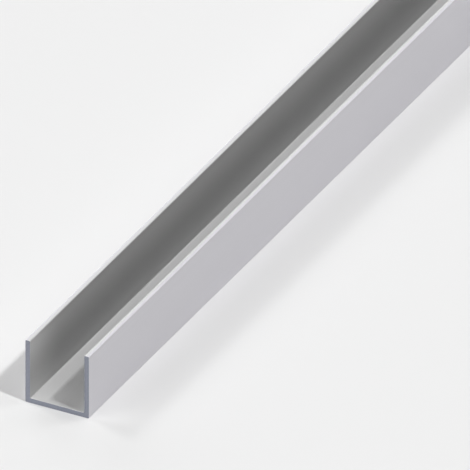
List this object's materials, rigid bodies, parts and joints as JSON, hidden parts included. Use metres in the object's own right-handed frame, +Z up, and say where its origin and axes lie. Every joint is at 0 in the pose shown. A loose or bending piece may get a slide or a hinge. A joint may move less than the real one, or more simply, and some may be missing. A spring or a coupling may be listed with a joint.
{
  "type": "metal channel section",
  "caption": "Straight length of square U-shaped aluminium extrusion with rounded edges and square-cut ends, for edging, guiding or framing.",
  "frame": {"origin": "middle of the web's underside, halfway along the length", "axes": "+X across the section, +Y along the length, +Z up out of the open groove; the section is the same mirrored left to right"},
  "size_m": [0.02, 1, 0.02],
  "materials": {
    "satin_aluminium": "satin, as extruded, with fine lines along the length and sawn ends"
  },
  "bodies": {
    "root": {"channel": "satin_aluminium"}
  },
  "joints": []
}
